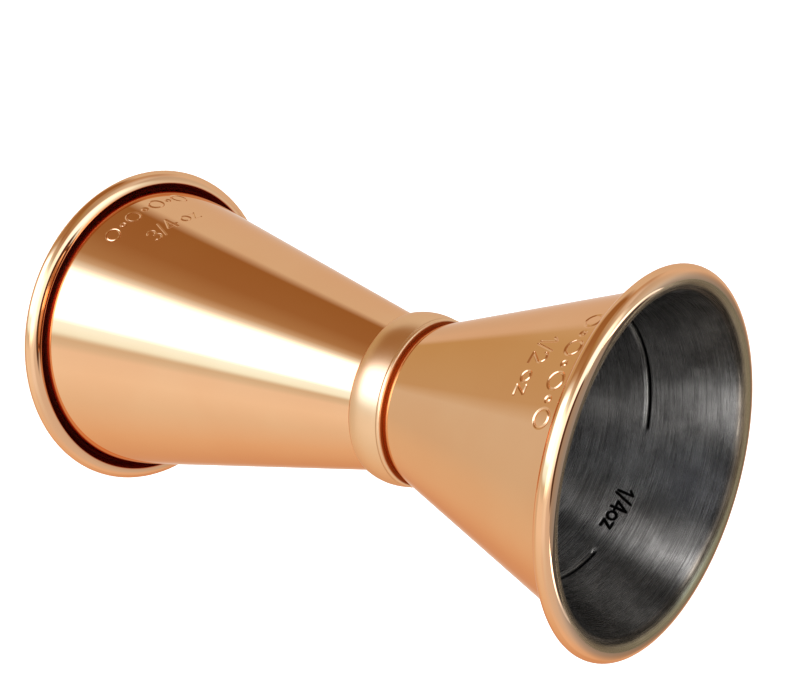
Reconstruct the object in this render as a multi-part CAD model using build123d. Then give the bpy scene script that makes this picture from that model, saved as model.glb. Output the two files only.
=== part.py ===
"""Double-ended bar jigger: two cone-shaped measuring cups joined base to base inside a waist band.

Row frame, millimetres: the jigger stands on the mouth of its large cup. The origin is the centre of
that mouth, +Z runs up the common axis, through the waist, and out of the mouth of the small cup.

Each cup is one drawn steel sheet: flat base, rounded corner and straight cone, whose mouth is rolled
outward and down into an open bead. The copper plating outside is a thin skin of its own. It stops at
the crest of the rim, so the inside of each cup is bare steel.
"""

import os
from math import atan2, cos, degrees, pi, radians, sin, sqrt

from build123d import *

# Driving dimensions, mm
LARGE_DEPTH = 44.0  # waist plane to the mouth of the large cup
SMALL_DEPTH = 30.0  # waist plane to the mouth of the small cup
NECK_RADIUS = 8.0  # plated outside of both cones, run on to the waist plane
MOUTH_RADIUS = 18.15  # plated outside of both cones, run on to the mouth plane
SHEET = 0.6  # steel sheet thickness
PLATE = 0.1  # copper skin thickness
BASE_CORNER_RADIUS = 1.2  # outside corner between base and cone

# Rim: the sheet rolls outward and down in an oval, with one arc for each side, the top and the bottom
ROLL_HALF_WIDTH = 1.25  # middle of the roll to the steel's inner and outer sides
ROLL_HALF_HEIGHT = 0.97  # middle of the roll to the steel's top and bottom
ROLL_SIDE_RADIUS = 0.75  # convex face of the side arcs
ROLL_END_HEADING = 272.0  # degrees; 180 is straight down outside, 270 straight back towards the axis
LAND_DEPTH = 0.02  # how much the crest of the roll is faced off to make a flat land

# Fill line, a shallow groove round the inside of the small cup
QUARTER_OUNCE_ML = 7.393
LINE_WIDTH = 0.6
LINE_DEPTH = 0.15
LINE_GAP_CENTRE = 74.0  # degrees about +Z, the middle of the gap left for the figures
LINE_GAP = 60.0  # degrees, the break in the line where the figures stand

# Waist band and braze
BAND_HALF_WIDTH = 2.2
BAND_BORE_RADIUS = 8.8
BAND_CROWN_RADIUS = 9.65
BAND_SHOULDER_RADIUS = 9.4
BAND_EDGE_ROUND = 0.32
BRAZE_HALF_WIDTH = 1.15

# The top arc that meets both side arcs smoothly
ROLL_TOP_RADIUS = (
    ROLL_HALF_WIDTH**2 + ROLL_HALF_HEIGHT**2 - 2 * ROLL_HALF_WIDTH * ROLL_SIDE_RADIUS
) / (2 * (ROLL_HALF_HEIGHT - ROLL_SIDE_RADIUS))
ROLL_SIDE_TURN = atan2(ROLL_TOP_RADIUS - ROLL_HALF_HEIGHT, ROLL_HALF_WIDTH - ROLL_SIDE_RADIUS)
WAIST_Z = LARGE_DEPTH


class CupSection:
    """Half section of one cup in its own plane: x is radius, y runs from the waist plane to the mouth.

    An offset is a distance from the steel's outer face into the cup. The plated face is at -PLATE,
    the steel's outer face at 0 and its inner face at SHEET.
    """

    def __init__(self, depth):
        self.depth = depth
        self.lean = atan2(MOUTH_RADIUS - NECK_RADIUS, depth)
        lean = self.lean
        self.inward = (-cos(lean), sin(lean))
        # a point of the steel's outer face, level with the waist plane before the offset
        self.foot = (NECK_RADIUS - PLATE * cos(lean), PLATE * sin(lean))
        corner_y = BASE_CORNER_RADIUS
        corner_x = self.foot[0] - (corner_y - (corner_y - self.foot[1]) * sin(lean)) / cos(lean)
        self.corner = (corner_x, corner_y)
        middle_y = depth - (ROLL_HALF_HEIGHT - LAND_DEPTH)
        hollow = ROLL_SIDE_RADIUS - SHEET
        side_x = self.foot[0] + (hollow + (middle_y - self.foot[1]) * sin(lean)) / cos(lean)
        self.roll_middle = (side_x + ROLL_HALF_WIDTH - ROLL_SIDE_RADIUS, middle_y)

    @staticmethod
    def side(heading):
        """Unit vector from the middle of an arc to the sheet that runs at this heading."""
        return (-cos(heading), sin(heading))

    def on_arc(self, centre, radius, heading):
        away = self.side(heading)
        return (centre[0] + radius * away[0], centre[1] + radius * away[1])

    def roll(self, grow, start, stop):
        """The arcs of the roll between two headings, outside its convex steel face by grow."""
        x, y = self.roll_middle
        shift = ROLL_HALF_WIDTH - ROLL_SIDE_RADIUS
        rise = ROLL_TOP_RADIUS - ROLL_HALF_HEIGHT
        arcs = (
            ((x - shift, y), ROLL_SIDE_RADIUS, -ROLL_SIDE_TURN, ROLL_SIDE_TURN),
            ((x, y - rise), ROLL_TOP_RADIUS, ROLL_SIDE_TURN, pi - ROLL_SIDE_TURN),
            ((x + shift, y), ROLL_SIDE_RADIUS, pi - ROLL_SIDE_TURN, pi + ROLL_SIDE_TURN),
            ((x, y + rise), ROLL_TOP_RADIUS, pi + ROLL_SIDE_TURN, 2 * pi - ROLL_SIDE_TURN),
        )
        edges = []
        for centre, radius, first, last in arcs:
            first, last = max(first, start), min(last, stop)
            if last > first:
                headings = (first, (first + last) / 2, last)
                edges.append(ThreePointArc(*(self.on_arc(centre, radius + grow, h) for h in headings)))
        return edges

    def wall_radius(self, y, offset):
        """Radius of the straight wall at height y."""
        return NECK_RADIUS + (y * sin(self.lean) - (PLATE + offset)) / cos(self.lean)

    def base_corner(self, offset):
        """The rounded corner from the base to the cone, as an arc, and its last point."""
        x, y = self.corner
        radius = BASE_CORNER_RADIUS - offset
        turns = (-pi / 2, (-pi / 2 - self.lean) / 2, -self.lean)
        points = [(x + radius * cos(a), y + radius * sin(a)) for a in turns]
        return ThreePointArc(*points), points[-1]

    def steel(self):
        """The sheet, from the axis to the end of the roll."""
        outer_corner, outer_start = self.base_corner(0)
        inner_corner, inner_start = self.base_corner(SHEET)
        end = radians(ROLL_END_HEADING)
        hollow, convex = self.roll(-SHEET, self.lean, end), self.roll(0, self.lean, end)
        edges = [
            Line((0, SHEET), (0, 0)),
            Line((0, 0), outer_corner @ 0),
            outer_corner,
            Line(outer_start, hollow[0] @ 0),
            *hollow,
            Line(hollow[-1] @ 1, convex[-1] @ 1),
            *convex,
            Line(convex[0] @ 0, inner_start),
            inner_corner,
            Line(inner_corner @ 0, (0, SHEET)),
        ]
        return make_face(edges) - self.above_mouth()

    def filled_base(self):
        """The base end of the cup with its hollow filled in."""
        corner, start = self.base_corner(0)
        end_y = 2 * BAND_HALF_WIDTH
        end = (self.wall_radius(end_y, 0), end_y)
        wall = Line(start, end)
        top = Line(end, (0, end_y))
        return make_face([Line((0, 0), corner @ 0), corner, wall, top, Line((0, end_y), (0, 0))])

    def wall_plating(self):
        """Copper skin on the cone, from under the band to the foot of the roll."""
        start_y = BRAZE_HALF_WIDTH + 0.25
        end_y = self.roll_middle[1]
        corners = [(self.wall_radius(y, offset), y) for y in (start_y, end_y) for offset in (0, -PLATE)]
        return make_face(Polyline(corners[0], corners[1], corners[3], corners[2], close=True))

    def roll_plating(self):
        """Copper skin round the outer half of the roll, from its crest to its edge."""
        end = radians(ROLL_END_HEADING)
        steel, skin = self.roll(0, pi / 2, end), self.roll(PLATE, pi / 2, end)
        edges = [Line(steel[0] @ 0, skin[0] @ 0), *steel, Line(steel[-1] @ 1, skin[-1] @ 1), *skin]
        return make_face(edges) - self.above_mouth()

    def above_mouth(self):
        """Everything past the mouth plane, which the faced rim leaves out."""
        block = Rectangle(2 * MOUTH_RADIUS, 2 * PLATE, align=(Align.MIN, Align.MIN))
        return Pos(0, self.depth) * block

    def capacity_level(self, millilitres):
        """Height above the waist plane at which the cup holds this much."""
        base = self.wall_radius(SHEET, SHEET)
        spread = (self.wall_radius(self.depth, SHEET) - base) / (self.depth - SHEET)
        radius = (base**3 + 3 * spread * millilitres * 1000 / pi) ** (1 / 3)
        return SHEET + (radius - base) / spread


def turned(section):
    """The solid that a half section sweeps round the axis, still in the cup's own frame."""
    return revolve(Plane.XZ * section, Axis.Z)


def stand_up(solid):
    """From the small cup's own frame to the row frame."""
    return Pos(0, 0, WAIST_Z) * solid


def turn_over(solid):
    """From the large cup's own frame, which is upside down, to the row frame."""
    return Pos(0, 0, WAIST_Z) * Rot(180, 0, 0) * solid


def fill_line(section, millilitres):
    """Cutter for the fill line: a V groove round the inside wall, broken where the figures stand."""
    level = section.capacity_level(millilitres)
    half = LINE_WIDTH / 2
    below, above = (
        (section.wall_radius(y, SHEET) - LINE_DEPTH, y) for y in (level - 2 * half, level + 2 * half)
    )
    bottom = (section.wall_radius(level, SHEET) + LINE_DEPTH, level)
    groove = make_face(Polyline(below, bottom, above, close=True))
    start = LINE_GAP_CENTRE + LINE_GAP / 2
    return Rot(0, 0, start) * revolve(Plane.XZ * groove, Axis.Z, revolution_arc=360 - LINE_GAP)


def band_outline(grow):
    """The band's half section, larger by grow than its steel on every exposed side."""
    half = BAND_HALF_WIDTH - PLATE + grow
    shoulder = BAND_SHOULDER_RADIUS - PLATE + grow
    crown = BAND_CROWN_RADIUS - PLATE + grow
    edge_round = BAND_EDGE_ROUND - PLATE + grow
    back = (shoulder - edge_round, half)
    middle = edge_round * (1 - sqrt(0.5))
    edges = [
        Line((BAND_BORE_RADIUS, -half), (back[0], -half)),
        ThreePointArc(
            (back[0], -half), (shoulder - middle, middle - half), (shoulder, edge_round - half)
        ),
        ThreePointArc((shoulder, edge_round - half), (crown, 0), (shoulder, half - edge_round)),
        ThreePointArc((shoulder, half - edge_round), (shoulder - middle, half - middle), back),
        Line(back, (BAND_BORE_RADIUS, half)),
        Line((BAND_BORE_RADIUS, half), (BAND_BORE_RADIUS, -half)),
    ]
    return make_face(edges)


def band_steel():
    return stand_up(turned(band_outline(0)))


def band_plating():
    return stand_up(turned(band_outline(PLATE) - band_outline(0)))


def braze(large, small):
    """Filler that joins the two rounded base corners and the bore of the band."""
    width = BAND_BORE_RADIUS - min(large.corner[0], small.corner[0])
    block = Rectangle(width, 2 * BRAZE_HALF_WIDTH, align=(Align.MAX, Align.CENTER))
    section = Pos(BAND_BORE_RADIUS, 0) * block
    section -= small.filled_base()
    section -= mirror(large.filled_base(), Plane.XZ)
    return stand_up(turned(section))


def build():
    """Every node by name."""
    large, small = CupSection(LARGE_DEPTH), CupSection(SMALL_DEPTH)
    large_cup = turn_over(turned(large.steel()))
    small_cup = stand_up(turned(small.steel()) - fill_line(small, QUARTER_OUNCE_ML))
    return {
        "large_cup": large_cup,
        "small_cup": small_cup,
        "large_cup_plating": Compound(
            [turn_over(turned(large.wall_plating())), turn_over(turned(large.roll_plating()))]
        ),
        "small_cup_plating": Compound(
            [stand_up(turned(small.wall_plating())), stand_up(turned(small.roll_plating()))]
        ),
        "waist_band": band_steel(),
        "waist_band_plating": band_plating(),
        "waist_braze": braze(large, small),
    }


def report():
    """Prints the working figures that the record states."""
    for name, depth in (("large", LARGE_DEPTH), ("small", SMALL_DEPTH)):
        cup = CupSection(depth)
        base, mouth = cup.wall_radius(SHEET, SHEET), cup.wall_radius(depth, SHEET)
        volume = pi * (depth - SHEET) / 3 * (base**2 + base * mouth + mouth**2) / 1000
        land = cup.roll_middle[0]
        rim = land + ROLL_HALF_WIDTH + PLATE
        print(name, "lean", round(degrees(cup.lean), 2), "brim ml", round(volume, 2), end=" ")
        print("rim radius", round(rim, 3), "land radius", round(land, 3), "inner base", round(base, 2))
    small = CupSection(SMALL_DEPTH)
    level = small.capacity_level(QUARTER_OUNCE_ML)
    print("quarter ounce level", round(level, 3), "radius", round(small.wall_radius(level, SHEET), 3))


os.makedirs("parts", exist_ok=True)
for node, shape in build().items():
    export_step(shape, f"parts/{node}.step")
report()
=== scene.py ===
"""Looks of the bar jigger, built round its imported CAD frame.

Lengths are millimetres until a mesh is made, and MM turns them into metres. Each cup is drawn in its
own half plane, x the radius and y the distance from the waist to the mouth, then turned round the
axis and stood at its end of the jigger: the small cup upwards, the large cup downwards.
"""

from math import atan2, cos, degrees, pi, radians, sin

import bpy
import numpy as np
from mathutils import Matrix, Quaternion, Vector


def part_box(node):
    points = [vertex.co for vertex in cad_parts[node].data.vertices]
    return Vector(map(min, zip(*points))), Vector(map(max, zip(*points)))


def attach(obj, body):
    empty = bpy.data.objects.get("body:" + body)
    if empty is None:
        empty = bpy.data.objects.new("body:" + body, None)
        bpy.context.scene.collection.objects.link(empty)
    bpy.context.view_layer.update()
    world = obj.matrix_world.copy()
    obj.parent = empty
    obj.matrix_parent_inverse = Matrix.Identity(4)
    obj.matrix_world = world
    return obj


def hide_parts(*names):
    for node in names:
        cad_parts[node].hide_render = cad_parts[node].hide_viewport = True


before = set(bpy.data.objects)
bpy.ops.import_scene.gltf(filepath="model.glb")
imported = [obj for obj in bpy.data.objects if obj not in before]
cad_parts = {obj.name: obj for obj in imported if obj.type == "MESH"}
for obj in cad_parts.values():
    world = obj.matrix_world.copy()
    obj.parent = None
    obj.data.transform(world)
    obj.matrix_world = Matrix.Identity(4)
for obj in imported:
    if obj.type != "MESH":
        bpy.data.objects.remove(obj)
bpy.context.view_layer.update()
MM = 0.001

# Sizes shared with the CAD model
WAIST_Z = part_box("large_cup")[1].z / MM
TOP_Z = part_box("small_cup")[1].z / MM
NECK_RADIUS = 8.0
MOUTH_RADIUS = 18.15
SHEET = 0.6
PLATE = 0.1
BASE_CORNER_RADIUS = 1.2
ROLL_HALF_WIDTH = 1.25
ROLL_HALF_HEIGHT = 0.97
ROLL_SIDE_RADIUS = 0.75
ROLL_TOP_RADIUS = (
    ROLL_HALF_WIDTH**2 + ROLL_HALF_HEIGHT**2 - 2 * ROLL_HALF_WIDTH * ROLL_SIDE_RADIUS
) / (2 * (ROLL_HALF_HEIGHT - ROLL_SIDE_RADIUS))
ROLL_SIDE_TURN = atan2(ROLL_TOP_RADIUS - ROLL_HALF_HEIGHT, ROLL_HALF_WIDTH - ROLL_SIDE_RADIUS)
ROLL_END_HEADING = radians(272)
LAND_DEPTH = 0.02
FILL_LINE_GAP_CENTRE = 74.0
FILL_LINE_GAP = 60.0
QUARTER_OUNCE_ML = 7.393
BAND_HALF_WIDTH = 2.2
BAND_BORE_RADIUS = 8.8
BAND_CROWN_RADIUS = 9.65

# Detail that only the looks have
RIM_PLATE = 0.09
HOLLOW_PLATE = 0.03
BEHIND_PLATE = 0.01
STEEL_DIP_TURN = radians(30)
PLATE_RISE_TURN = radians(45)
STAMP_DEPTH = 0.085
STAMP_STROKE = 0.17
FIGURE_HEIGHT = 2.0
ORNAMENT_HEIGHT = 2.2
LARGE_STAMP_ANGLE = -141
SMALL_STAMP_ANGLE = -113
ENGRAVE_DEPTH = 0.16
ENGRAVE_STROKE = 0.2
QUARTER_ANGLE = 66.5
QUARTER_HEIGHT = 1.65
QUARTER_RADIUS = 14
FILL_LINE_HALF_WIDTH = 0.36
ROLL_REACH = 1.2
PLATING_START = 1.4
PLATING_BELOW_ROLL = 0.8
EDGE_BULGE = 0.45
COLUMN_STEP = 2.0
COARSE_STEP = 1.5
FINE_STEP = 0.06
FINE_STEP_RADIUS = 16.0
NO_FINE_ROWS = (10, 10)
BACK_ROWS_KEPT = 6
V_SCALE = 0.01


# ---------------------------------------------------------------- outlines

def side(heading):
    """Unit vector from the middle of a roll to the sheet that runs at this heading."""
    return np.array((-cos(heading), sin(heading)))


def smooth(t):
    """Smoothly from 0 to 1."""
    t = np.clip(t, 0, 1)
    return t * t * (3 - 2 * t)


def rim_face(heading):
    """How far the rim's face stands outside its convex steel. The steel dips to the land at its crest,
    and from there the copper thickens over the bead."""
    past = heading - pi / 2
    if past < 0:
        return -LAND_DEPTH * smooth(1 + past / STEEL_DIP_TURN)
    return -LAND_DEPTH + (RIM_PLATE + LAND_DEPTH) * smooth(past / PLATE_RISE_TURN)


class Outline:
    """A smooth-shaded run of rows, each a point of the half plane and its outward normal."""

    def __init__(self):
        self.points, self.normals = [], []

    def add(self, point, normal):
        self.points.append(np.array(point, float))
        self.normals.append(np.array(normal, float) / np.hypot(*normal))

    def line(self, start, end, normal, steps=1):
        for t in np.linspace(0, 1, steps + 1):
            self.add(np.array(start) * (1 - t) + np.array(end) * t, normal)

    def arc(self, centre, radius, start, stop, grow, facing=1):
        """An arc round centre between two headings, outside its radius by what grow gives."""
        steps = max(2, int(abs(stop - start) / radians(5) + 0.5))
        for heading in np.linspace(start, stop, steps + 1):
            out, on = side(heading), side(heading - pi / 2)
            reach = radius + grow(heading)
            slope = (grow(heading + 0.01) - grow(heading - 0.01)) / 0.02
            self.add(np.array(centre) + reach * out, facing * (reach * out + slope * on))

    def arrays(self):
        return np.array(self.points), np.array(self.normals)

    def length(self):
        return length_of(np.array(self.points))


def length_of(points):
    return float(np.sum(np.hypot(*np.diff(points, axis=0).T)))


class CupForm:
    """The half section of one cup. Offsets run from the steel's outer face into the cup."""

    def __init__(self, depth):
        self.depth = depth
        self.lean = atan2(MOUTH_RADIUS - NECK_RADIUS, depth)
        lean = self.lean
        self.outward = (cos(lean), -sin(lean))
        foot = (NECK_RADIUS - PLATE * cos(lean), PLATE * sin(lean))
        corner_x = foot[0] - (BASE_CORNER_RADIUS - (BASE_CORNER_RADIUS - foot[1]) * sin(lean)) / cos(lean)
        self.corner = (corner_x, BASE_CORNER_RADIUS)
        middle_y = depth - (ROLL_HALF_HEIGHT - LAND_DEPTH)
        side_x = foot[0] + (ROLL_SIDE_RADIUS - SHEET + (middle_y - foot[1]) * sin(lean)) / cos(lean)
        self.middle = np.array((side_x + ROLL_HALF_WIDTH - ROLL_SIDE_RADIUS, middle_y))

    def roll(self, outline, grow, start, stop, facing=1):
        """Rows round the oval rim between two headings, outside its convex steel face by grow, which is
        a distance or a function of the heading."""
        grow_at = grow if callable(grow) else lambda heading: grow
        shift = np.array((ROLL_HALF_WIDTH - ROLL_SIDE_RADIUS, 0))
        rise = np.array((0, ROLL_TOP_RADIUS - ROLL_HALF_HEIGHT))
        arcs = [
            (self.middle - shift, ROLL_SIDE_RADIUS, -ROLL_SIDE_TURN, ROLL_SIDE_TURN),
            (self.middle - rise, ROLL_TOP_RADIUS, ROLL_SIDE_TURN, pi - ROLL_SIDE_TURN),
            (self.middle + shift, ROLL_SIDE_RADIUS, pi - ROLL_SIDE_TURN, pi + ROLL_SIDE_TURN),
            (self.middle + rise, ROLL_TOP_RADIUS, pi + ROLL_SIDE_TURN, 2 * pi - ROLL_SIDE_TURN),
        ]
        low, high = min(start, stop), max(start, stop)
        spans = [(c, r, max(a, low), min(b, high)) for c, r, a, b in arcs if max(a, low) < min(b, high)]
        for centre, radius, first, last in spans if stop > start else spans[::-1]:
            ends = (first, last) if stop > start else (last, first)
            outline.arc(centre, radius, *ends, grow_at, facing)

    def wall_radius(self, y, offset):
        return NECK_RADIUS + (y * sin(self.lean) - (PLATE + offset)) / cos(self.lean)

    def capacity_level(self, millilitres):
        base = self.wall_radius(SHEET, SHEET)
        spread = (self.wall_radius(self.depth, SHEET) - base) / (self.depth - SHEET)
        radius = (base**3 + 3 * spread * millilitres * 1000 / pi) ** (1 / 3)
        return SHEET + (radius - base) / spread

    def wall(self, outline, start_y, end_y, offset, fine, facing):
        """Rows up the straight wall, close together inside the fine span of y."""
        for y in spaced(start_y, end_y, fine, COARSE_STEP):
            outline.add((self.wall_radius(y, offset), y), facing * np.array(self.outward))

    def inside(self, fine):
        """Bare steel: from the middle of the base, up the wall, to the crest of the rim."""
        out = Outline()
        x, y = self.corner
        radius = BASE_CORNER_RADIUS - SHEET
        out.line((0, SHEET), (x, SHEET), (0, 1), 8)
        for turn in np.linspace(-pi / 2, -self.lean, 8)[1:]:
            out.add((x + radius * cos(turn), y + radius * sin(turn)), (-cos(turn), -sin(turn)))
        self.wall(out, out.points[-1][1] + 0.3, self.middle[1] - 0.2, SHEET, fine, -1)
        self.roll(out, rim_face, self.lean, pi / 2)
        return out

    def behind_plating(self):
        """Hidden face of the steel: from the crest, round the roll, to the middle of the base."""
        out = Outline()
        self.roll(out, -BEHIND_PLATE - LAND_DEPTH, pi / 2, ROLL_END_HEADING)
        self.roll(out, BEHIND_PLATE - SHEET, ROLL_END_HEADING, self.lean, -1)
        x, y = self.corner
        for turn in np.linspace(-self.lean, -pi / 2, 8):
            away = (cos(turn), sin(turn))
            out.add((x + BASE_CORNER_RADIUS * away[0], y + BASE_CORNER_RADIUS * away[1]), away)
        out.line((x, 0), (0, 0), (0, -1), 2)
        return out

    def plated(self, fine):
        """Copper face: from the crest, over the bead and its edge, into the roll and down the wall."""
        out = Outline()
        self.roll(out, rim_face, pi / 2, ROLL_END_HEADING)
        convex, hollow = out.points[-1], self.hollow_end()
        middle, half = (convex + hollow) / 2, (convex - hollow) / 2
        onward = np.array((half[1], -half[0])) * EDGE_BULGE
        for turn in np.linspace(0, pi, 9)[1:-1]:
            normal = half * EDGE_BULGE * cos(turn) + onward / EDGE_BULGE * sin(turn)
            out.add(middle + half * cos(turn) + onward * sin(turn), normal)
        self.roll(out, -SHEET - HOLLOW_PLATE, ROLL_END_HEADING, self.lean, -1)
        for y in spaced(PLATING_START, self.middle[1] - PLATING_BELOW_ROLL, fine, COARSE_STEP)[::-1]:
            out.add((self.wall_radius(y, -PLATE), y), self.outward)
        return out

    def crest_travel(self):
        """How far the inside's outline runs to the crest."""
        return self.inside(NO_FINE_ROWS).length()

    def hollow_travel(self):
        """How far the plated outline runs to where it enters the roll and to where it leaves it."""
        convex = Outline()
        self.roll(convex, rim_face, pi / 2, ROLL_END_HEADING)
        points, _ = self.plated(NO_FINE_ROWS).arrays()
        first_on_wall = np.flatnonzero(points[:, 1] < self.middle[1] - ROLL_REACH)[0]
        return convex.length(), length_of(points[: first_on_wall - 1])

    def hollow_end(self):
        """Where the plating's face inside the roll begins."""
        probe = Outline()
        self.roll(probe, -SHEET - HOLLOW_PLATE, ROLL_END_HEADING, self.lean, -1)
        return probe.points[0]


def spaced(start, end, fine, coarse_step):
    """Values from start to end, close together between the two values of fine."""
    low, high = (max(min(f, end), start) for f in fine)
    parts = []
    for a, b, step in ((start, low, coarse_step), (low, high, FINE_STEP), (high, end, coarse_step)):
        if b - a > 1e-6:
            parts.append(np.linspace(a, b, max(2, int(round((b - a) / step)) + 1))[:-1])
    return np.concatenate(parts + [[end]])


# ---------------------------------------------------------------- marks

def curve_points(centre, radius, start, stop, steps=12):
    turns = np.radians(np.linspace(start, stop, steps + 1))
    return [(centre[0] + radius * cos(t), centre[1] + radius * sin(t)) for t in turns]


GLYPHS = {
    "1": (0.45, [[(0.05, 0.76), (0.30, 1.0), (0.30, 0.0)]]),
    "2": (0.72, [curve_points((0.32, 0.72), 0.28, 165, -40) + [(0.03, 0.0), (0.62, 0.0)]]),
    "3": (
        0.72,
        [
            curve_points((0.30, 0.76), 0.24, 155, -90) + curve_points((0.30, 0.26), 0.26, 80, -155),
        ],
    ),
    "4": (0.78, [[(0.50, 0.0), (0.50, 1.0), (0.03, 0.28), (0.68, 0.28)]]),
    "/": (0.52, [[(0.02, -0.06), (0.44, 1.06)]]),
    "o": (0.72, [curve_points((0.31, 0.31), 0.28, 0, 360, 20)]),
    "z": (0.60, [[(0.05, 0.60), (0.50, 0.60), (0.04, 0.0), (0.54, 0.0)]]),
    " ": (0.35, []),
    "ring": (1.05, [curve_points((0.45, 0.50), 0.40, 0, 360, 24)]),
    "bead": (0.62, [curve_points((0.25, 0.50), 0.13, 0, 360, 12)]),
}
ORNAMENT = ["ring", "bead", "ring", "bead", "ring", "bead", "ring"]


def segment_distance(px, py, start, end):
    dx, dy = end[0] - start[0], end[1] - start[1]
    t = np.clip(((px - start[0]) * dx + (py - start[1]) * dy) / (dx * dx + dy * dy), 0, 1)
    return np.hypot(px - start[0] - t * dx, py - start[1] - t * dy)


class Mark:
    """A row of glyphs pressed into a cone, centred at one angle and one distance from the waist, with
    its tops towards the mouth. Reading is 1 if it runs on to larger angles, and -1 if to smaller."""

    def __init__(self, glyphs, angle, level, height, stroke, reading):
        self.angle, self.level, self.height, self.stroke = angle, level, height, stroke
        self.reading = reading
        self.width = sum(GLYPHS[g][0] for g in glyphs) * height
        self.strokes = []
        pen = -self.width / 2
        for glyph in glyphs:
            advance, lines = GLYPHS[glyph]
            for points in lines:
                placed = [(pen + x * height, (y - 0.5) * height) for x, y in points]
                self.strokes += list(zip(placed, placed[1:]))
            pen += advance * height

    def span(self, radius):
        """The angles that the row of glyphs covers, with a margin, in degrees."""
        half = degrees((self.width / 2 + 0.6) / radius)
        return (self.angle - half, self.angle + half)

    def nearness(self, angles, ys, radii):
        """1 on the middle of a stroke, falling smoothly to 0 at its edges."""
        across = self.reading * np.radians(angles[None, :] - self.angle) * radii[:, None]
        up = ys[:, None] - self.level + 0 * across
        nearest = np.full(across.shape, 9.0)
        inside = (np.abs(across) < self.width / 2 + 1) & (np.abs(up) < self.height)
        for start, end in self.strokes:
            nearest[inside] = np.minimum(
                nearest[inside], segment_distance(across[inside], up[inside], start, end)
            )
        return smooth(1 - nearest / self.stroke)


def ring_nearness(angles, ys, level, half_width):
    """The fill line: 1 along its middle, 0 past its edges and in the gap for the figures."""
    off = np.abs((angles - FILL_LINE_GAP_CENTRE + 180) % 360 - 180)
    fade = smooth((off - FILL_LINE_GAP / 2) / 1.2)
    return smooth(1 - np.abs(ys - level) / half_width)[:, None] * fade[None, :]


# ---------------------------------------------------------------- meshes

def columns(spans):
    """Angles round the axis, in degrees, close together inside each span."""
    fine = degrees(FINE_STEP / FINE_STEP_RADIUS)
    angles, at = [], -180.0
    for low, high in sorted(spans):
        angles += list(np.arange(at, low, COLUMN_STEP))
        angles += list(np.arange(low, high, fine))
        at = high
    angles += list(np.arange(at, 180.0, COLUMN_STEP))
    return np.array(angles)


def lathe(name, loops, angles, place, relief=None):
    """A mesh turned from runs of rows. Relief gives the depth of the first run's points, and their
    darkening, which is 1 where the colour is made near black and -1 where a painted highlight lightens it."""
    turns = np.radians(angles)
    radial = np.stack([np.cos(turns), np.sin(turns), 0 * turns], 1)
    around = np.stack([-np.sin(turns), np.cos(turns), 0 * turns], 1)
    up = np.array((0, 0, 1.0))
    verts, normals, uvs, faces, darkening_and_painted_highlight_rows = [], [], [], [], []
    count, base, travel = len(angles), 0, 0.0
    for index, (points, directions) in enumerate(loops):
        x, y = points[:, 0], points[:, 1]
        lengths = np.concatenate([[0], np.cumsum(np.hypot(np.diff(x), np.diff(y)))])
        p = x[:, None, None] * radial[None] + y[:, None, None] * up
        n = directions[:, 0][:, None, None] * radial[None] + directions[:, 1][:, None, None] * up
        soot = np.zeros(p.shape[:2])
        if index == 0 and relief is not None:
            depth, soot = relief(angles, points)
            tangent = np.stack([-directions[:, 1], directions[:, 0]], 1)
            along = tangent[:, 0][:, None, None] * radial[None] + tangent[:, 1][:, None, None] * up
            step = np.gradient(points, axis=0)
            run = np.sum(step * tangent, 1)
            run[np.abs(run) < 1e-9] = 1e-9
            slope_along = np.gradient(depth, axis=0) / run[:, None]
            wrapped = np.concatenate([depth[:, -1:], depth, depth[:, :1]], 1)
            gaps = np.concatenate([[turns[-1] - 2 * pi], turns, [turns[0] + 2 * pi]])
            rise = (wrapped[:, 2:] - wrapped[:, :-2]) / (gaps[2:] - gaps[:-2])[None, :]
            slope_around = rise / np.maximum(x, 0.1)[:, None]
            p = p - n * depth[:, :, None]
            n = n + slope_along[:, :, None] * along + slope_around[:, :, None] * around[None]
            n /= np.linalg.norm(n, axis=2, keepdims=True)
        darkening_and_painted_highlight_rows.append(soot.ravel())
        verts.append(p.reshape(-1, 3))
        normals.append(n.reshape(-1, 3))
        u = np.broadcast_to(angles[None, :] / 360 + 0.5, p.shape[:2])
        v = np.broadcast_to((travel + lengths)[:, None], p.shape[:2])
        uvs.append(np.stack([u, v * V_SCALE], 2).reshape(-1, 2))
        rows = np.arange(len(x) - 1)[:, None] * count + base
        here = np.arange(count)[None, :]
        there = (here + 1) % count
        faces.append(np.stack([rows + here, rows + there, rows + count + there, rows + count + here], 2))
        base += len(x) * count
        travel += lengths[-1]
    verts, normals = np.concatenate(verts), np.concatenate(normals)
    verts, normals = place(verts), place(normals, True)
    faces = np.concatenate([f.reshape(-1, 4) for f in faces])
    uvs = np.concatenate(uvs)
    return make_mesh(name, verts * MM, faces, normals, uvs, np.concatenate(darkening_and_painted_highlight_rows))


def make_mesh(name, verts, faces, normals, uvs, soot):
    """The object for these quads, turned to face along their normals."""
    a, b, c, d = (verts[faces[:, k]] for k in range(4))
    facing = np.cross(c - a, d - b)
    backwards = np.sum(facing * normals[faces[:, 0]], 1) < 0
    faces[backwards] = faces[backwards][:, ::-1]
    collapsed = np.linalg.norm(facing, axis=1) < 1e-14
    faces = faces[~collapsed]
    mesh = bpy.data.meshes.new(name)
    mesh.from_pydata(verts.tolist(), [], faces.tolist())
    layer = mesh.uv_layers.new(name="turned")
    loops = np.zeros(len(mesh.loops), int)
    mesh.loops.foreach_get("vertex_index", loops)
    layer.data.foreach_set("uv", uvs[loops].ravel().astype(np.float32))
    mesh.attributes.new("soot", "FLOAT", "POINT").data.foreach_set("value", soot.astype(np.float32))
    mesh.polygons.foreach_set("use_smooth", np.ones(len(mesh.polygons), bool))
    mesh.normals_split_custom_set_from_vertices(normals.tolist())
    mesh.update()
    piece = bpy.data.objects.new(name, mesh)
    bpy.context.scene.collection.objects.link(piece)
    return piece


def upward(values, direction=False):
    """Places the small cup's own frame in the row frame."""
    return values if direction else values + (0, 0, WAIST_Z)


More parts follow.
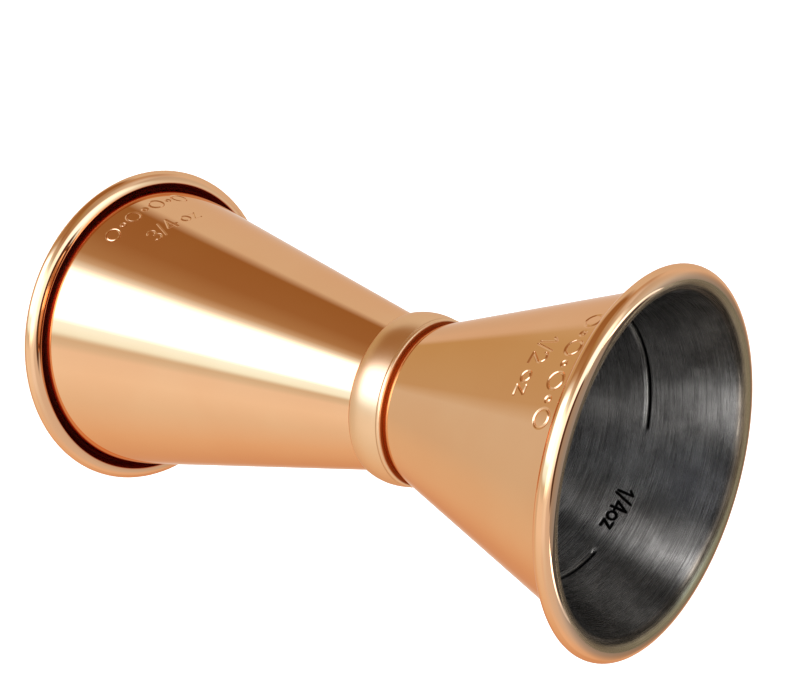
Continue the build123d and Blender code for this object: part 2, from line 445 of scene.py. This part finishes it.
def downward(values, direction=False):
    """Places the large cup's own frame, which is upside down, in the row frame."""
    flipped = values * (1, 1, -1)
    return flipped if direction else flipped + (0, 0, WAIST_Z)


def skin(outline, thickness):
    """Runs for a closed skin: the face, and its back at a depth that thickness gives for each row."""
    points, normals = outline.arrays()
    back = points - normals * thickness[:, None]
    ends = []
    for k in (-1, 0):
        edge = np.array([points[k], back[k]]) if k else np.array([back[k], points[k]])
        out = points[k] - points[k + (-1 if k else 1)]
        ends.append((edge, np.array([out, out]) / (np.hypot(*out) + 1e-9)))
    return [(points, normals), ends[0], (back[::-1], -normals[::-1]), ends[1]]


# ---------------------------------------------------------------- materials

class Nodes:
    """Short forms for making a node tree."""

    def __init__(self, tree):
        self.tree = tree
        tree.nodes.clear()

    def new(self, kind, inputs=(), **settings):
        node = self.tree.nodes.new(kind)
        for key, value in settings.items():
            setattr(node, key, value)
        for key, value in dict(inputs).items():
            self.put(node.inputs[key], value)
        return node

    def put(self, socket, value):
        if isinstance(value, bpy.types.NodeSocket):
            self.tree.links.new(value, socket)
        else:
            socket.default_value = value

    def math(self, operation, *values, clamp=False):
        node = self.tree.nodes.new("ShaderNodeMath")
        node.operation, node.use_clamp = operation, clamp
        for socket, value in zip(node.inputs, values):
            self.put(socket, value)
        return node.outputs[0]

    def ramp(self, value, low, high, to_low=0.0, to_high=1.0):
        """Smoothly from one value to another as the input passes between two limits."""
        names = {"Value": value, "From Min": low, "From Max": high, "To Min": to_low, "To Max": to_high}
        return self.new("ShaderNodeMapRange", names, interpolation_type="SMOOTHSTEP").outputs[0]

    def mix(self, factor, one, two):
        node = self.new("ShaderNodeMix", data_type="RGBA")
        self.put(node.inputs["Factor"], factor)
        for key, value in (("A", one), ("B", two)):
            self.put([s for s in node.inputs if s.name == key and s.type == "RGBA"][0], value)
        return [s for s in node.outputs if s.type == "RGBA"][0]

    def turn_of(self, y, x):
        """The angle of (x, y), from 0 to 1 as it goes from -180 to 180 degrees."""
        return self.math("MULTIPLY_ADD", self.math("ARCTAN2", y, x), 0.5 / pi, 0.5)

    def ring(self, turn, stops):
        """The colour at a turn of 0 to 1, from stops given as angles of -180 to 180 degrees."""
        ramp = self.new("ShaderNodeValToRGB", {"Fac": turn})
        elements = ramp.color_ramp.elements
        for place, _ in stops[1:-1]:
            elements.new(place / 360 + 0.5)
        for element, (place, light) in zip(elements, stops):
            element.position = place / 360 + 0.5
            element.color = tone(*light)
        return ramp.outputs["Color"]

    def noise(self, vector, scale, detail=3.0, roughness=0.5):
        values = {"Vector": vector, "Scale": scale, "Detail": detail, "Roughness": roughness}
        return self.new("ShaderNodeTexNoise", values).outputs["Fac"]


def tone(red, green, blue):
    return (red, green, blue, 1.0)


def new_material(name):
    material = bpy.data.materials.new(name)
    material.use_nodes = True
    nodes = Nodes(material.node_tree)
    shader = nodes.new("ShaderNodeBsdfPrincipled", {"Metallic": 1.0})
    output = nodes.new("ShaderNodeOutputMaterial")
    nodes.tree.links.new(shader.outputs[0], output.inputs["Surface"])
    return material, nodes, shader


def round_coordinate(nodes, around, along):
    """A coordinate for brushing: slow round the axis, quick along the turned outline."""
    place = nodes.new("ShaderNodeTexCoord").outputs["Object"]
    xyz = nodes.new("ShaderNodeSeparateXYZ", {"Vector": place}).outputs
    uv = nodes.new("ShaderNodeUVMap", uv_map="turned").outputs[0]
    v = nodes.new("ShaderNodeSeparateXYZ", {"Vector": uv}).outputs["Y"]
    x = nodes.math("MULTIPLY", xyz["X"], around)
    y = nodes.math("MULTIPLY", xyz["Y"], around)
    z = nodes.math("MULTIPLY", v, along)
    return nodes.new("ShaderNodeCombineXYZ", {"X": x, "Y": y, "Z": z}).outputs[0]


def copper(name, polish, colour, painted_shade_span, crest_width=0.0):
    """Polished copper plating, a little uneven. The fourth argument is the span of the outline given painted
    shade: its dark copper colour, and more roughness. Over crest_width from its start the copper is thin and
    pale."""
    material, nodes, shader = new_material(name)
    place = nodes.new("ShaderNodeTexCoord").outputs["Object"]
    uneven = nodes.noise(place, 90.0, 3.0, 0.5)
    fine = nodes.noise(round_coordinate(nodes, 60.0, 9000.0), 1.0, 2.0)
    deep = tone(*(c * k for c, k in zip(colour, (0.99, 0.96, 0.94))))
    base = nodes.mix(nodes.ramp(uneven, 0.35, 0.65), tone(*colour), deep)
    roughness = nodes.math("MULTIPLY_ADD", fine, polish * 0.2, polish * 0.9)
    v = travelled(nodes)
    if crest_width:
        base = nodes.mix(nodes.ramp(v, 0.0, crest_width), tone(*PALE_COPPER), base)
    # Painted shade: over the given span the base colour turns to its dark copper, and the copper is rougher.
    entered = nodes.ramp(v, painted_shade_span[0] - 0.1, painted_shade_span[0] + 0.1)
    left = nodes.ramp(v, painted_shade_span[1] + 0.5, painted_shade_span[1] + 1.9)
    inside = nodes.math("SUBTRACT", entered, left, clamp=True)
    base = nodes.mix(inside, base, tone(*painted_shade_span[2]))
    roughness = nodes.math("MULTIPLY_ADD", inside, 0.3, roughness)
    nodes.put(shader.inputs["Base Color"], base)
    nodes.put(shader.inputs["Roughness"], roughness)
    shader.inputs["Specular Tint"].default_value = tone(*COPPER_EDGE_TINT)
    return material


def travelled(nodes):
    """How far along the turned outline a point is, in millimetres."""
    uv = nodes.new("ShaderNodeUVMap", uv_map="turned").outputs[0]
    v = nodes.new("ShaderNodeSeparateXYZ", {"Vector": uv}).outputs["Y"]
    return nodes.math("MULTIPLY", v, 1 / V_SCALE)


def brushed_steel(name, crest):
    """Dark stainless steel brushed round the axis. Crest is the travel at the top of the rim, where
    a breath of copper runs over it."""
    material, nodes, shader = new_material(name)
    fine = nodes.noise(round_coordinate(nodes, 150.0, 14000.0), 1.0, 2.0, 0.6)
    broad = nodes.noise(round_coordinate(nodes, 190.0, 2100.0), 1.0, 4.0, 0.65)
    both = nodes.math("ADD", nodes.math("MULTIPLY", fine, 0.55), nodes.math("MULTIPLY", broad, 0.45))
    place = nodes.new("ShaderNodeTexCoord").outputs["Object"]
    xyz = nodes.new("ShaderNodeSeparateXYZ", {"Vector": place}).outputs
    streaks = nodes.ramp(both, 0.36, 0.64, 0.3, 1.7)
    mottle = nodes.ramp(nodes.noise(place, 330.0, 4.0, 0.65), 0.3, 0.7, 0.72, 1.28)
    streaks = nodes.math("MULTIPLY", streaks, mottle)
    warm = nodes.ramp(travelled(nodes), crest - 2.0, crest - 0.8)
    green = nodes.math("MULTIPLY", streaks, nodes.math("MULTIPLY_ADD", warm, -0.2, 1.0))
    blue = nodes.math("MULTIPLY", streaks, nodes.math("MULTIPLY_ADD", warm, -0.42, 1.0))
    tint = nodes.new("ShaderNodeCombineXYZ", {"X": streaks, "Y": green, "Z": blue}).outputs[0]
    base = nodes.new("ShaderNodeVectorMath", {0: STEEL_COLOUR, 1: tint}, operation="MULTIPLY")
    lip = nodes.ramp(travelled(nodes), crest - 1.15, crest - 0.15)
    # The lip's copper tint is painted lighter on the -Y side and darker towards +Y: painted light and shade
    # over the copper breath.
    painted_far_side_shade = nodes.ramp(xyz["Y"], -12 * MM, 4 * MM)
    copper_breath_and_painted_side_light = nodes.mix(painted_far_side_shade, tone(*COPPER_BREATH_PAINTED_LIGHTER), tone(*COPPER_BREATH_PAINTED_DARKER))
    base = nodes.mix(lip, base.outputs[0], copper_breath_and_painted_side_light)
    # Per point: -1 gives a painted highlight on the fill line's near flank; 1 makes the steel near black, as
    # painted shade on the line's far flank and as the colour of the engraved figures.
    soot = nodes.new("ShaderNodeAttribute", attribute_name="soot").outputs["Fac"]
    base = nodes.mix(nodes.math("MULTIPLY", soot, -1.0, clamp=True), base, tone(*PAINTED_FLANK_HIGHLIGHT))
    base = nodes.mix(nodes.math("MULTIPLY", soot, 1.0, clamp=True), base, tone(*FLANK_SHADE_AND_FIGURE_BLACK))
    nodes.put(shader.inputs["Base Color"], base)
    nodes.put(shader.inputs["Roughness"], nodes.ramp(both, 0.3, 0.7, 0.2, 0.32))
    shader.inputs["Anisotropic"].default_value = 0.85
    shader.inputs["Anisotropic Rotation"].default_value = 0.25
    tangent = nodes.new("ShaderNodeTangent", direction_type="RADIAL", axis="Z")
    nodes.put(shader.inputs["Tangent"], tangent.outputs[0])
    bump = nodes.new("ShaderNodeBump", {"Strength": 0.4, "Distance": 0.00002, "Height": both})
    nodes.put(shader.inputs["Normal"], bump.outputs["Normal"])
    return material


def plain_metal(name, colour, roughness):
    """For the parts closed inside the waist: turned or flowed metal, mottled by heat."""
    material, nodes, shader = new_material(name)
    place = nodes.new("ShaderNodeTexCoord").outputs["Object"]
    mottle = nodes.noise(place, 900.0, 4.0)
    darker = tone(*(c * 0.7 for c in colour))
    nodes.put(shader.inputs["Base Color"], nodes.mix(mottle, tone(*colour), darker))
    nodes.put(shader.inputs["Roughness"], nodes.ramp(mottle, 0.2, 0.8, roughness, roughness * 1.6))
    return material


def floor_material():
    """Pale floor, mostly lit evenly, so that only a faint shadow lies on it."""
    material, _, shader = new_material("studio_floor")
    shader.inputs["Metallic"].default_value = 0.0
    shader.inputs["Base Color"].default_value = tone(0.9, 0.9, 0.9)
    shader.inputs["Roughness"].default_value = 0.9
    shader.inputs["Specular IOR Level"].default_value = 0.0
    shader.inputs["Emission Color"].default_value = tone(1, 1, 1)
    shader.inputs["Emission Strength"].default_value = 0.8
    return material


# ---------------------------------------------------------------- the jigger

SMALL = CupForm(TOP_Z - WAIST_Z)
LARGE = CupForm(WAIST_Z)

# Colours, with how rough the two coppers are and how wide the pale copper at the crest is
CONE_COPPER = (0.88, 0.512, 0.29)
CONE_POLISH = 0.025
BAND_POLISH = 0.29
CREST_WIDTH = 0.9

PALE_COPPER = (0.70, 0.51, 0.37)
# Painted shade: dark red copper put on the plating's face inside the roll.
PAINTED_ROLL_SHADE = (0.50, 0.09, 0.03)
BAND_COPPER = (0.89, 0.57, 0.34)
# Painted shade: dark copper on the band's end face towards the small cup.
PAINTED_GROOVE_SHADE = (0.36, 0.075, 0.015)
COPPER_EDGE_TINT = (0.93, 0.74, 0.60)
STEEL_COLOUR = (0.27, 0.262, 0.255)
# Breath of copper on the steel's lip: painted lighter on the -Y side and painted darker on the far side.
COPPER_BREATH_PAINTED_LIGHTER = (0.54, 0.39, 0.24)
COPPER_BREATH_PAINTED_DARKER = (0.33, 0.255, 0.14)
# Painted highlight on the fill line's near flank; near black for painted shade on its far flank and for the
# engraved figures.
PAINTED_FLANK_HIGHLIGHT = (0.32, 0.31, 0.29)
FLANK_SHADE_AND_FIGURE_BLACK = (0.004, 0.004, 0.004)
BAND_STEEL = (0.55, 0.54, 0.53)
BRAZE_BRASS = (0.74, 0.62, 0.40)


def mark_relief(marks, form, offset):
    """Relief function for a run of rows on a cup's wall."""

    def relief(angles, points):
        ys, radii = points[:, 1], points[:, 0]
        depth = np.zeros((len(ys), len(angles)))
        on_wall = np.abs(radii - form.wall_radius(ys, offset)) < 1e-6
        for mark, sink in marks:
            depth[on_wall] += sink * mark.nearness(angles, ys[on_wall], radii[on_wall])
        return depth, np.zeros_like(depth)

    return relief


def stamps(figures, angle, levels, reading):
    """The stamped figures of a cup, and the row of rings and beads between them and the rim."""
    rows = ((figures, FIGURE_HEIGHT), (ORNAMENT, ORNAMENT_HEIGHT))
    return [
        (Mark(glyphs, angle, level, height, STAMP_STROKE, reading), STAMP_DEPTH)
        for (glyphs, height), level in zip(rows, levels)
    ]


def thickness_of(form, points):
    """How thick the plating is at each row: next to nothing at the crest, and thin inside the roll."""
    x, y = points[:, 0], points[:, 1]
    across, up = (x - form.middle[0]) / ROLL_HALF_WIDTH, (y - form.middle[1]) / ROLL_HALF_HEIGHT
    inside_roll = np.hypot(across, up) < 0.8
    on_rim = np.hypot(across, up) < 1.3
    thick = np.where(on_rim, RIM_PLATE, PLATE) - BEHIND_PLATE / 2
    thick = np.where(inside_roll, HOLLOW_PLATE / 2, thick)
    return np.where(up > 0.5, thick * np.clip((across / 0.75) ** 2, 0.02, 1), thick)


def plating(name, form, place, marks, fine, polish_material):
    spans = merged([m.span(form.wall_radius(m.level, -PLATE)) for m, _ in marks])
    outline = form.plated(fine)
    points, _ = outline.arrays()
    runs = skin(outline, thickness_of(form, points))
    (back, away), count = runs[2], len(points)
    on_wall = np.arange(count) < np.sum(points[:, 1] < form.middle[1] - ROLL_REACH)
    keep = ~on_wall | (np.arange(count) % BACK_ROWS_KEPT == 0)
    runs[2] = (back[keep], away[keep])
    piece = lathe(name, runs, columns(spans), place, mark_relief(marks, form, -PLATE))
    piece.data.materials.append(polish_material)
    return piece


def merged(spans):
    """Overlapping spans joined into one."""
    out = []
    for low, high in sorted(spans):
        if out and low <= out[-1][1]:
            out[-1] = (out[-1][0], max(high, out[-1][1]))
        else:
            out.append((low, high))
    return out


def sheet(name, form, place, fine, spans, relief, material):
    inside = form.inside(fine)
    behind = form.behind_plating()
    piece = lathe(name, [inside.arrays(), behind.arrays()], columns(spans), place, relief)
    piece.data.materials.append(material)
    return piece


def band():
    """The band's plated face: a soft crown, a crease, and a narrow lip towards the small cup."""
    out = Outline()
    half, soft_edge, lip_radius = BAND_HALF_WIDTH, 0.62, 0.26
    low = (BAND_BORE_RADIUS + 0.02, soft_edge - half)
    crease = (BAND_CROWN_RADIUS - 0.28, 1.68)
    lip = (crease[0] - 0.26, half - lip_radius)

    out.line((BAND_BORE_RADIUS, -half), (low[0], -half), (0, -1))
    for turn in np.radians(np.linspace(-90, -12, 12)[1:]):
        away = np.array((cos(turn), sin(turn)))
        out.add(low + soft_edge * away, away)
    first = out.points[-1]
    x, y, radius = circle_through(first, (BAND_CROWN_RADIUS, -0.2), crease)
    start, stop = atan2(first[1] - y, first[0] - x), atan2(crease[1] - y, crease[0] - x)
    for turn in np.linspace(start, stop, 24)[1:]:
        out.add((x + radius * cos(turn), y + radius * sin(turn)), (cos(turn), sin(turn)))
    for turn in np.radians(np.linspace(-30, 90, 12)):
        away = np.array((cos(turn), sin(turn)))
        out.add(lip + lip_radius * away, away)
    groove_start = out.length()
    out.line((lip[0] - 0.03, half), (BAND_BORE_RADIUS - 0.04, half), (0, 1))

    points, _ = out.arrays()
    piece = lathe("band_plating", skin(out, np.full(len(points), 0.09)), columns([]), upward)
    # Painted shade on the band's end face in the groove towards the small cup: a dark copper colour and more
    # roughness.
    groove_painted_shade = (groove_start, out.length() + 1, PAINTED_GROOVE_SHADE)
    piece.data.materials.append(copper("satin_copper", BAND_POLISH, BAND_COPPER, groove_painted_shade))
    return piece


def circle_through(a, b, c):
    """(x, y, radius) of the circle through three points."""
    (ax, ay), (bx, by), (cx, cy) = a, b, c
    d = 2 * (ax * (by - cy) + bx * (cy - ay) + cx * (ay - by))
    aa, bb, cc = ax * ax + ay * ay, bx * bx + by * by, cx * cx + cy * cy
    x = (aa * (by - cy) + bb * (cy - ay) + cc * (ay - by)) / d
    y = (aa * (cx - bx) + bb * (ax - cx) + cc * (bx - ax)) / d
    return x, y, float(np.hypot(ax - x, ay - y))


def build_jigger():
    # Painted shade inside the roll: the plating's hollow face gets a dark red colour and more roughness.
    inside_roll = (*LARGE.hollow_travel(), PAINTED_ROLL_SHADE)
    polished = copper("polished_copper", CONE_POLISH, CONE_COPPER, inside_roll, CREST_WIDTH)
    steels = {
        form: brushed_steel(name, form.crest_travel())
        for form, name in ((LARGE, "brushed_steel_large"), (SMALL, "brushed_steel_small"))
    }

    large_marks = stamps("3/4 oz", LARGE_STAMP_ANGLE, (34.4, 38.9), -1)
    small_marks = stamps("1/2 oz", SMALL_STAMP_ANGLE, (22.0, 25.6), 1)
    level = SMALL.capacity_level(QUARTER_OUNCE_ML)
    quarter = Mark("1/4oz", QUARTER_ANGLE, level - 0.2, QUARTER_HEIGHT, ENGRAVE_STROKE, -1)

    def small_relief(angles, points):
        ys, radii = points[:, 1], points[:, 0]
        depth, soot = (np.zeros((len(ys), len(angles))) for _ in range(2))
        on_wall = np.abs(radii - SMALL.wall_radius(ys, SHEET)) < 1e-6
        ys, radii = ys[on_wall], radii[on_wall]
        figures = quarter.nearness(angles, ys, radii)
        depth[on_wall] = ENGRAVE_DEPTH * (figures + ring_nearness(angles, ys, level, FILL_LINE_HALF_WIDTH))
        # Painted shade along the fill line's far flank and a painted highlight along its near flank; the
        # engraved figures are made near black.
        painted_shade_flank = ring_nearness(angles, ys, level + 0.27, 0.22)
        painted_highlight_flank = ring_nearness(angles, ys, level - 0.06, 0.2)
        soot[on_wall] = np.clip(np.maximum(figures * 3, painted_shade_flank * 1.8) - painted_highlight_flank, -1, 1)
        return depth, soot

    large_skin = plating("large_plating", LARGE, downward, large_marks, (33.0, 40.3), polished)
    small_skin = plating("small_plating", SMALL, upward, small_marks, (20.6, 27.0), polished)
    large_sheet = sheet("large_sheet", LARGE, downward, NO_FINE_ROWS, [], None, steels[LARGE])
    near_line, near_figures = (level - 1.6, level + 1.2), [quarter.span(QUARTER_RADIUS)]
    small_sheet = sheet(
        "small_sheet", SMALL, upward, near_line, near_figures, small_relief, steels[SMALL]
    )
    for piece, node, slot in (
        (large_skin, "large_cup_plating", "large_cup_copper"),
        (small_skin, "small_cup_plating", "small_cup_copper"),
        (large_sheet, "large_cup", "large_cup_steel"),
        (small_sheet, "small_cup", "small_cup_steel"),
        (band(), "waist_band_plating", "band_copper"),
    ):
        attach(piece, "root")
        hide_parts(node)
    finish_node("waist_band", plain_metal("band_steel", BAND_STEEL, 0.25))
    finish_node("waist_braze", plain_metal("braze_filler", BRAZE_BRASS, 0.35))


def finish_node(node, material):
    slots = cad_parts[node].data.materials
    slots.clear()
    slots.append(material)


# ---------------------------------------------------------------- studio

LENS = 63.62
CAMERA_PLACE = (0.0, -124.44, 134.91)
CAMERA_TARGET = (-5.165, -0.21, 39.684)
CAMERA_ROLL = 104.19
FLOOR_REACH = 3.0
FLOOR_GAP = 0.02
BACKDROP = (0.97, 0.97, 0.97)
OVERHEAD_CARD = (0.10, 0.05, 0.03)
OVERHEAD_DIRECTION = (0.0, 0.05, 1.0)
OVERHEAD_EDGE = (0.26, 0.36)


def build_camera():
    data = bpy.data.cameras.new("camera")
    data.lens = LENS
    camera = bpy.data.objects.new("camera", data)
    bpy.context.scene.collection.objects.link(camera)
    camera.location = Vector(CAMERA_PLACE) * MM
    facing = (Vector(CAMERA_TARGET) * MM - camera.location).to_track_quat("-Z", "Y")
    camera.rotation_mode = "QUATERNION"
    camera.rotation_quaternion = facing @ Quaternion((0, 0, 1), radians(CAMERA_ROLL))
    bpy.context.scene.camera = camera


def build_floor():
    mesh = bpy.data.meshes.new("floor")
    signs = ((-1, -1), (1, -1), (1, 1), (-1, 1))
    corners = [(x * FLOOR_REACH, y * FLOOR_REACH, 0) for x, y in signs]
    mesh.from_pydata(corners, [], [(0, 1, 2, 3)])
    mesh.materials.append(floor_material())
    floor = bpy.data.objects.new("floor", mesh)
    floor.location.z = -FLOOR_GAP * MM
    floor.visible_glossy = False
    bpy.context.scene.collection.objects.link(floor)


# What the studio shows round the jigger, from below to above, as azimuth in degrees and light. The
# camera stands at 0 and positive azimuths are towards +X.
LOW_RING = [
    (-180, (0.75, 0.75, 0.75)), (-147, (0.66, 0.70, 0.74)), (-125, (0.80, 0.78, 0.75)),
    (-118, (0.78, 0.75, 0.70)), (-110, (0.61, 0.52, 0.31)), (-31, (0.62, 0.53, 0.36)),
    (-8, (0.75, 0.76, 0.70)), (58, (0.75, 0.73, 0.64)), (91, (0.82, 0.75, 0.62)),
    (161, (0.88, 0.76, 0.64)), (180, (0.75, 0.75, 0.75)),
]
MIDDLE_RING = [
    (-180, (0.90, 0.87, 0.84)), (-150, (0.78, 0.78, 0.76)), (-96, (0.76, 0.74, 0.66)),
    (-86, (0.35, 0.19, 0.07)), (-55, (0.37, 0.21, 0.09)), (-37, (0.46, 0.32, 0.18)),
    (-31, (0.65, 0.6, 0.5)), (-26, (1.0, 1.28, 1.5)), (-20, (3.0, 3.2, 4.0)), (12, (3.0, 3.2, 4.0)),
    (15, (1.2, 1.8, 2.3)), (22, (1.1, 1.6, 1.9)), (26, (0.76, 0.80, 0.74)), (30, (0.80, 0.86, 0.82)),
    (35, (0.97, 0.98, 0.95)), (50, (1.0, 1.0, 0.95)), (73, (0.90, 0.87, 0.78)), (105, (0.87, 0.72, 0.56)),
    (150, (0.76, 0.55, 0.41)), (180, (0.90, 0.87, 0.84)),
]
HIGH_RING = [
    (-180, (0.21, 0.19, 0.16)), (-165, (0.45, 0.41, 0.38)), (-150, (0.80, 0.76, 0.72)),
    (-125, (0.80, 0.76, 0.70)), (-112, (0.58, 0.47, 0.37)), (-100, (0.60, 0.46, 0.32)),
    (-85, (0.45, 0.31, 0.19)), (-68, (0.56, 0.47, 0.34)), (-55, (0.43, 0.30, 0.13)),
    (-36, (0.37, 0.21, 0.10)), (-26, (0.75, 0.70, 0.60)), (-18, (1.0, 1.36, 1.5)), (-10, (3.1, 3.2, 3.4)),
    (20, (3.1, 3.2, 3.4)), (33, (0.95, 1.0, 1.0)), (55, (0.97, 1.0, 1.0)), (68, (0.87, 0.83, 0.77)),
    (85, (0.85, 0.80, 0.75)), (105, (0.88, 0.79, 0.70)), (125, (0.92, 0.78, 0.65)),
    (150, (0.85, 0.71, 0.60)), (165, (0.50, 0.42, 0.36)), (180, (0.21, 0.19, 0.16)),
]
UPPER_RING = [
    (-180, (0.65, 0.65, 0.65)), (-165, (0.80, 0.85, 0.85)), (-145, (0.68, 0.70, 0.68)),
    (-123, (0.60, 0.60, 0.58)), (-110, (0.80, 0.83, 0.86)), (-88, (0.65, 0.65, 0.60)),
    (-69, (0.50, 0.45, 0.38)), (-58, (0.50, 0.43, 0.28)), (-42, (0.44, 0.30, 0.18)),
    (-26, (0.60, 0.65, 0.60)), (-17, (1.0, 1.4, 1.6)), (-8, (3.1, 3.2, 3.4)), (24, (3.1, 3.2, 3.4)),
    (36, (1.05, 1.15, 1.15)), (58, (1.0, 1.04, 1.1)), (74, (0.87, 0.92, 0.92)), (96, (0.80, 0.80, 0.78)),
    (145, (0.75, 0.75, 0.75)), (165, (0.65, 0.65, 0.65)), (180, (0.65, 0.65, 0.65)),
]
TOP_RING = [
    (-180, (0.85, 0.95, 1.0)), (-160, (1.0, 1.25, 1.4)), (-145, (1.2, 1.7, 2.0)), (-100, (2.0, 2.6, 3.0)),
    (-75, (1.8, 2.2, 2.8)), (-40, (1.6, 1.9, 2.2)), (20, (1.6, 1.9, 2.2)), (50, (0.80, 0.80, 0.80)),
    (180, (0.75, 0.75, 0.75)),
]


# Cards over the mouth of the small cup: their light at degrees round the axis from +X, low down and
# higher up. Their places are millimetres, the heights above the small cup's rim.
CARDS_LOW = [
    (-180, 2.0), (-165, 2.2), (-150, 0.04), (-30, 0.04), (-14, 1.0), (6, 0.9), (18, 0.04), (165, 0.05),
    (180, 2.0),
]
CARDS_HIGH = [
    (-180, 4.4), (-162, 4.4), (-148, 0.12), (-32, 0.12), (-18, 5.6), (0, 5.6), (14, 0.12), (164, 0.12),
    (180, 4.4),
]
CARDS_RADIUS = 17.0
CARDS_BOTTOM = 0.3
CARDS_TOP = 22.0
CARDS_RISE = (7.0, 15.0)
LID_LIGHT = 0.42


def build_cards():
    """Cards over the mouth that only reflections see, from inside: bright strips between dark ones."""
    turns = np.radians(np.arange(0, 360, 6))
    ring = [(CARDS_RADIUS * cos(t) * MM, CARDS_RADIUS * sin(t) * MM) for t in turns]
    bottom, top = (TOP_Z + CARDS_BOTTOM) * MM, (TOP_Z + CARDS_TOP) * MM
    count = len(ring)
    faces = [(k, (k + 1) % count, (k + 1) % count + count, k + count) for k in range(count)]
    faces.append(tuple(range(count, 2 * count)))
    mesh = bpy.data.meshes.new("cards")
    mesh.from_pydata([(x, y, z) for z in (bottom, top) for x, y in ring], [], faces)
    mesh.materials.append(card_material(top))
    cards = bpy.data.objects.new("cards", mesh)
    bpy.context.scene.collection.objects.link(cards)
    cards.visible_camera = cards.visible_diffuse = False
    cards.visible_shadow = cards.visible_transmission = False


def card_material(top):
    """Light from the inner faces. The outer faces let everything through."""
    material = bpy.data.materials.new("studio_cards")
    material.use_nodes = True
    nodes = Nodes(material.node_tree)
    place = nodes.new("ShaderNodeTexCoord").outputs["Object"]
    xyz = nodes.new("ShaderNodeSeparateXYZ", {"Vector": place}).outputs
    turn = nodes.turn_of(xyz["Y"], xyz["X"])
    low, high = (nodes.ring(turn, [(a, (v,) * 3) for a, v in stops]) for stops in (CARDS_LOW, CARDS_HIGH))
    rise = nodes.ramp(xyz["Z"], *((TOP_Z + height) * MM for height in CARDS_RISE))
    light = nodes.mix(rise, low, high)
    lid = nodes.ramp(xyz["Z"], top - 0.5 * MM, top - 0.1 * MM)
    light = nodes.mix(lid, light, tone(LID_LIGHT, LID_LIGHT, LID_LIGHT))
    glow = nodes.new("ShaderNodeEmission", {"Color": light, "Strength": 1.0}).outputs[0]
    clear = nodes.new("ShaderNodeBsdfTransparent").outputs[0]
    inner = nodes.new("ShaderNodeNewGeometry").outputs["Backfacing"]
    both = nodes.new("ShaderNodeMixShader", {0: inner, 1: clear, 2: glow}).outputs[0]
    output = nodes.new("ShaderNodeOutputMaterial")
    nodes.tree.links.new(both, output.inputs["Surface"])
    return material


def build_studio():
    """The soft light round the jigger, as a world whose light changes with direction."""
    world = bpy.data.worlds.new("studio")
    bpy.context.scene.world = world
    world.use_nodes = True
    nodes = Nodes(world.node_tree)
    direction = nodes.new("ShaderNodeTexCoord").outputs["Generated"]
    xyz = nodes.new("ShaderNodeSeparateXYZ", {"Vector": direction}).outputs
    turn = nodes.turn_of(xyz["X"], nodes.math("MULTIPLY", xyz["Y"], -1.0))
    elevation = nodes.math("MULTIPLY", nodes.math("ARCSINE", xyz["Z"]), 180 / pi)

    light = nodes.ring(turn, LOW_RING)
    for stops, low, high in (
        (MIDDLE_RING, -58, -42), (HIGH_RING, 6, 16), (UPPER_RING, 20, 38), (TOP_RING, 46, 58)
    ):
        light = nodes.mix(nodes.ramp(elevation, low, high), light, nodes.ring(turn, stops))
    overhead = nodes.new("ShaderNodeVectorMath", {0: direction, 1: OVERHEAD_DIRECTION}, operation="DISTANCE")
    dark = nodes.ramp(overhead.outputs["Value"], *OVERHEAD_EDGE, 1.0, 0.0)
    light = nodes.mix(dark, light, tone(*OVERHEAD_CARD))
    seen = nodes.new("ShaderNodeLightPath").outputs["Is Camera Ray"]
    light = nodes.mix(seen, light, tone(*BACKDROP))
    background = nodes.new("ShaderNodeBackground", {"Color": light, "Strength": 1.0})
    output = nodes.new("ShaderNodeOutputWorld")
    nodes.tree.links.new(background.outputs[0], output.inputs["Surface"])
    bpy.context.scene.view_settings.view_transform = "Standard"


build_camera()
build_studio()
build_floor()
build_cards()
build_jigger()
